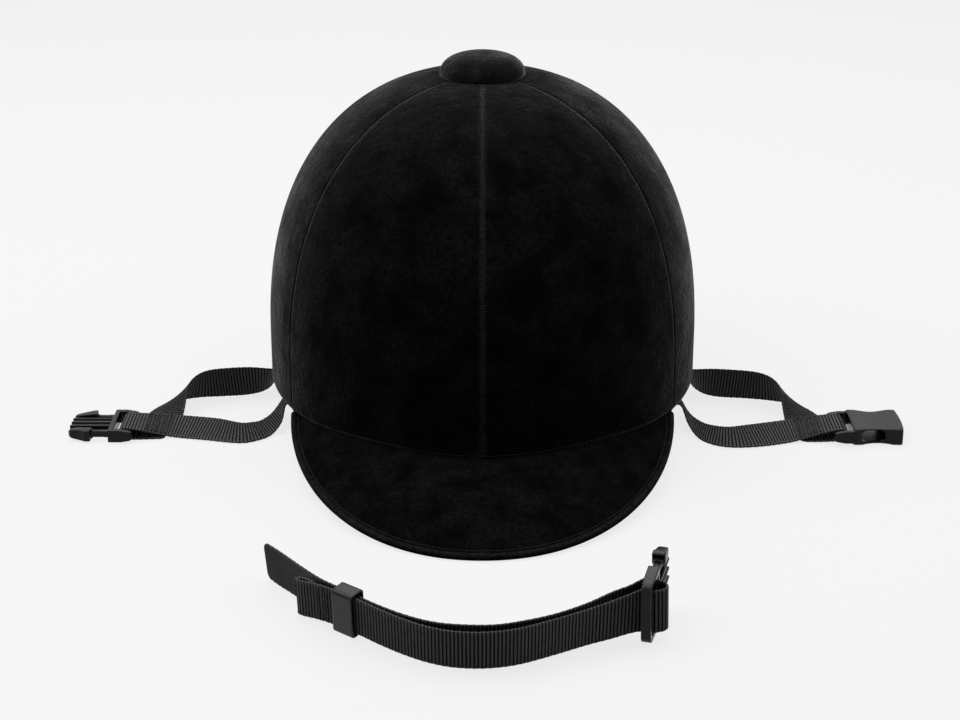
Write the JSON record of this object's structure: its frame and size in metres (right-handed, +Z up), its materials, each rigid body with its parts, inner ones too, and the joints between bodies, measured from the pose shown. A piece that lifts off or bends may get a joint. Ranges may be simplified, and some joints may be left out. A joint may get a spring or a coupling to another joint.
{
  "type": "riding helmet",
  "caption": "Velvet covered riding helmet with a curved peak, a covered top button, webbing harness straps on both sides with side-release buckle halves, and a loose adjustable chin strap.",
  "frame": {"origin": "centre of the head opening, on the plane the helmet rests on, at the dome's widest section", "axes": "+Z up through the crown, the peak points along -Y, +X to the wearer's left"},
  "size_m": [0.4005, 0.4199, 0.1755],
  "materials": {
    "velvet": "short pile, deep black with a grey sheen",
    "lining": "black woven lining over thin padding",
    "shell": "moulded, matt",
    "foam": "moulded bead foam",
    "webbing": "ribbed woven strap, dark grey",
    "buckle": "satin moulded",
    "metal": "plated"
  },
  "bodies": {
    "helmet": {"outer_shell": "shell", "impact_liner": "foam", "headband": "lining", "crown_pad": "lining", "rim_binding": "lining", "cover_front_right": "velvet", "cover_front_left": "velvet", "cover_side_right": "velvet", "cover_side_left": "velvet", "cover_back_right": "velvet", "cover_back_left": "velvet", "peak_core": "shell", "peak_cover": "velvet", "peak_lining": "lining", "peak_piping": "velvet", "top_button": "velvet", "button_stud": "metal", "stud_washer": "metal", "stud_nut": "metal", "anchor_tabs": "webbing", "anchor_rivets": "metal"},
    "harness_right": {"front_strap_right": "webbing", "rear_strap_right": "webbing"},
    "plug_right": {"buckle_plug_right": "buckle"},
    "prong_front_right": {"plug_prong_front_right": "buckle"},
    "prong_rear_right": {"plug_prong_rear_right": "buckle"},
    "harness_left": {"front_strap_left": "webbing", "rear_strap_left": "webbing"},
    "socket_left": {"buckle_socket_left": "buckle"},
    "chin_strap": {"chin_webbing": "webbing"},
    "keeper": {"chin_keeper": "buckle"},
    "chin_plug": {"chin_buckle": "buckle"},
    "chin_upper_prong": {"chin_prong_upper": "buckle"},
    "chin_lower_prong": {"chin_prong_lower": "buckle"}
  },
  "joints": [
    {"name": "harness_right_swing", "type": "hinge", "parent": "helmet", "child": "harness_right", "pos_m": [-0.09499, -0.03732, 0.012], "axis": [0.0857, -0.9963, 0], "range_deg": [0, 85]},
    {"name": "plug_right_swivel", "type": "hinge", "parent": "harness_right", "child": "plug_right", "pos_m": [-0.172, -0.057, 0.0035], "axis": [0, 1, 0], "range_deg": [-60, 60]},
    {"name": "prong_front_flex", "type": "hinge", "parent": "plug_right", "child": "prong_front_right", "pos_m": [-0.1797, -0.0663, 0.0035], "axis": [0, 0, -1], "range_deg": [0, 5.5], "stiffness_Nm_per_rad": 1},
    {"name": "prong_rear_flex", "type": "hinge", "parent": "plug_right", "child": "prong_rear_right", "pos_m": [-0.1797, -0.0477, 0.0035], "axis": [0, 0, 1], "range_deg": [0, 5.5], "stiffness_Nm_per_rad": 1},
    {"name": "harness_left_swing", "type": "hinge", "parent": "helmet", "child": "harness_left", "pos_m": [0.09499, -0.03732, 0.012], "axis": [0.0857, 0.9963, 0], "range_deg": [0, 85]},
    {"name": "socket_left_swivel", "type": "hinge", "parent": "harness_left", "child": "socket_left", "pos_m": [0.172, -0.0605, 0.0043], "axis": [0, 1, 0], "range_deg": [-60, 60]},
    {"name": "chin_strap_lift", "type": "slide", "parent": "helmet", "child": "chin_strap", "axis": [0, 0, 1], "range_m": [0, 0.05]},
    {"name": "keeper_slide", "type": "slide", "parent": "chin_strap", "child": "keeper", "axis": [0.766, -0.6428, 0], "range_m": [-0.002, 0.002]},
    {"name": "chin_plug_swivel", "type": "hinge", "parent": "chin_strap", "child": "chin_plug", "pos_m": [0.065, -0.2625, 0.01478], "axis": [-0.0384, -0.1338, 0.9903], "range_deg": [-10, 10]},
    {"name": "chin_upper_flex", "type": "hinge", "parent": "chin_plug", "child": "chin_upper_prong", "pos_m": [0.06674, -0.25641, 0.02506], "axis": [-0.9613, 0.2756, 0], "range_deg": [0, 5.5], "stiffness_Nm_per_rad": 1},
    {"name": "chin_lower_flex", "type": "hinge", "parent": "chin_plug", "child": "chin_lower_prong", "pos_m": [0.06746, -0.25393, 0.00664], "axis": [0.9613, -0.2756, 0], "range_deg": [0, 5.5], "stiffness_Nm_per_rad": 1}
  ]
}
